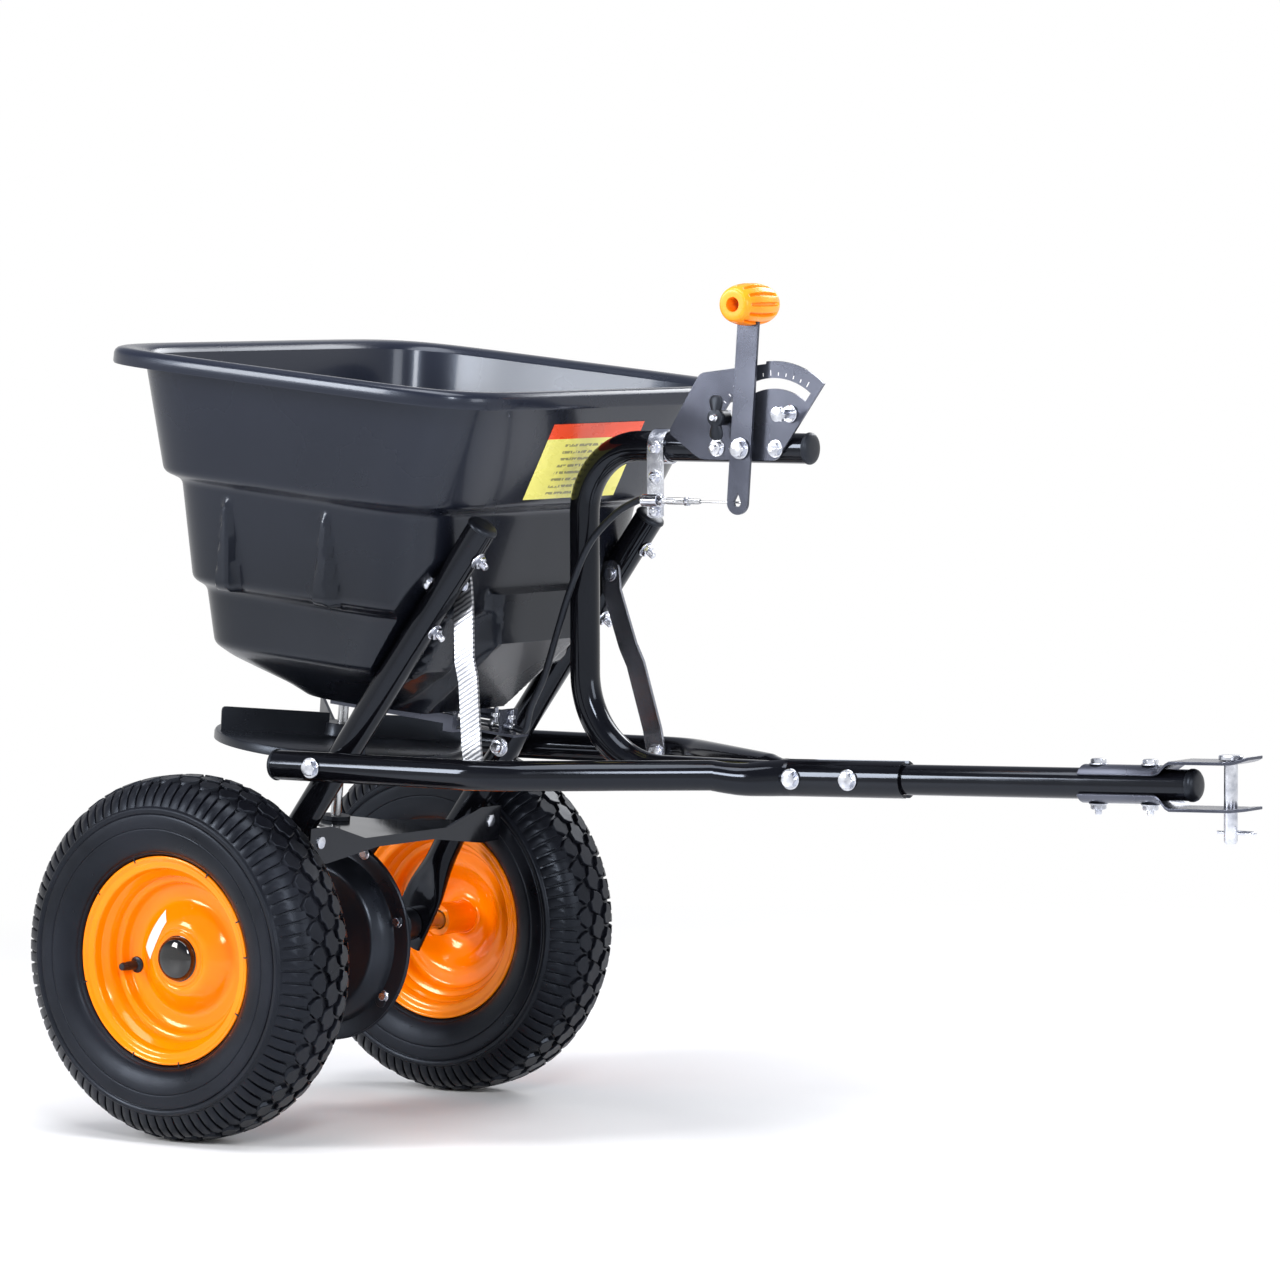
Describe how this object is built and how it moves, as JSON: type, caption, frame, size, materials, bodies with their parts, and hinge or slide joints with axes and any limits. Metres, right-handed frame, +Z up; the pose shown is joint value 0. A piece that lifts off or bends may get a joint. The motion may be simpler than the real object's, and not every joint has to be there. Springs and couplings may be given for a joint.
{
  "type": "tow-behind broadcast spreader",
  "caption": "Two-wheeled tow-behind broadcast spreader with a rectangular hopper, wheel-driven spinner disc, hand lever for the outlet gate and a tubular drawbar with a hitch pin.",
  "frame": {"origin": "on the floor under the middle of the bounding box", "axes": "+X forward along the drawbar towards the hitch pin, +Y to the machine's left, +Z up, wheels on z = 0"},
  "size_m": [1.08, 0.478, 0.7282],
  "materials": {
    "black_paint": "gloss black powder coat on steel tube",
    "black_plastic": "black moulded plastic",
    "bright_zinc": "bright zinc plated steel",
    "dark_zinc": "dark zinc plated steel",
    "gloss_black": "gloss black moulded cap",
    "hopper_plastic": "black satin moulded plastic",
    "nylon": "natural nylon",
    "orange_paint": "gloss orange enamel on pressed steel",
    "orange_plastic": "orange moulded plastic",
    "soft_black": "black plastic",
    "steel": "bare turned steel",
    "tyre_rubber": "matt black rubber"
  },
  "bodies": {
    "frame": {"axle_bush_left": "soft_black", "axle_bush_right": "soft_black", "brace_left": "bright_zinc", "brace_right": "bright_zinc", "cable_clip": "bright_zinc", "cable_ferrule": "steel", "cable_sheath": "soft_black", "control_plug": "soft_black", "control_tube": "black_paint", "cross_bolt_left": "bright_zinc", "cross_bolt_right": "bright_zinc", "cross_plate": "black_paint", "frame_plug_left": "soft_black", "frame_plug_right": "soft_black", "frame_tube_left": "black_paint", "frame_tube_right": "black_paint", "front_stop": "bright_zinc", "gate_ferrule": "steel", "gate_guide": "dark_zinc", "gearbox_shell_left": "black_plastic", "gearbox_shell_right": "black_plastic", "hitch_plug_left": "soft_black", "hitch_plug_right": "soft_black", "hitch_strap_lower": "dark_zinc", "hitch_strap_upper": "dark_zinc", "hitch_tube_left": "black_paint", "hitch_tube_right": "black_paint", "hopper": "hopper_plastic", "pinch_bolt_front": "bright_zinc", "pinch_bolt_rear": "bright_zinc", "pivot_bolt": "bright_zinc", "quadrant_plate": "dark_zinc", "shaft_bush": "soft_black", "tongue": "black_paint", "tongue_plug": "soft_black"},
    "drive_axle": {"axle": "steel", "bevel_gear": "nylon", "tyre_right": "tyre_rubber", "rim_right": "orange_paint", "valve_right": "soft_black", "hub_cap_right": "gloss_black"},
    "free_wheel": {"tyre_left": "tyre_rubber", "rim_left": "orange_paint", "valve_left": "soft_black", "hub_cap_left": "gloss_black"},
    "spinner_shaft": {"upright_shaft": "steel", "bevel_pinion": "nylon", "spinner": "black_plastic", "agitator": "bright_zinc"},
    "lever_arm": {"lever": "dark_zinc", "lever_grip": "orange_plastic"},
    "gate_slide": {"gate": "bright_zinc", "gate_wire": "steel"},
    "lever_wire_run": {"lever_wire": "steel"},
    "stop": {"stop_bolt": "bright_zinc"},
    "knob": {"wing_knob": "soft_black"},
    "pin": {"hitch_pin": "dark_zinc", "hairpin_clip": "bright_zinc"}
  },
  "joints": [
    {"name": "drive_spin", "type": "hinge", "parent": "frame", "child": "drive_axle", "pos_m": [-0.384, 0, 0.156], "axis": [0, 1, 0], "continuous": true},
    {"name": "free_wheel_spin", "type": "hinge", "parent": "frame", "child": "free_wheel", "pos_m": [-0.384, 0.194, 0.156], "axis": [0, 1, 0], "continuous": true},
    {"name": "spinner_spin", "type": "hinge", "parent": "frame", "child": "spinner_shaft", "pos_m": [-0.384, 0, 0.156], "axis": [0.0993, 0, 0.9951], "continuous": true},
    {"name": "lever_swing", "type": "hinge", "parent": "frame", "child": "lever_arm", "pos_m": [0.069, -0.024, 0.591], "axis": [0, 1, 0], "range_deg": [-11, 32]},
    {"name": "gate_travel", "type": "slide", "parent": "frame", "child": "gate_slide", "axis": [0.9951, 0, -0.0993], "range_m": [-0.0256, 0.0089]},
    {"name": "lever_wire_travel", "type": "slide", "parent": "frame", "child": "lever_wire_run", "axis": [1, 0, 0], "range_m": [-0.0256, 0.0089]},
    {"name": "stop_set", "type": "hinge", "parent": "frame", "child": "stop", "pos_m": [0.096, -0.015, 0.591], "axis": [0, 1, 0], "range_deg": [0, 10]},
    {"name": "knob_turn", "type": "hinge", "parent": "stop", "child": "knob", "pos_m": [0.04832, -0.02, 0.61635], "axis": [0, -1, 0], "continuous": true},
    {"name": "hitch_pin_lift", "type": "slide", "parent": "frame", "child": "pin", "axis": [0, 0, 1], "range_m": [0, 0.014]}
  ],
  "couplings": [
    {"joint": "spinner_spin", "follows": "drive_spin", "ratio": -4},
    {"joint": "gate_travel", "follows": "lever_swing", "m_per_rad": -0.045},
    {"joint": "lever_wire_travel", "follows": "lever_swing", "m_per_rad": -0.045}
  ]
}
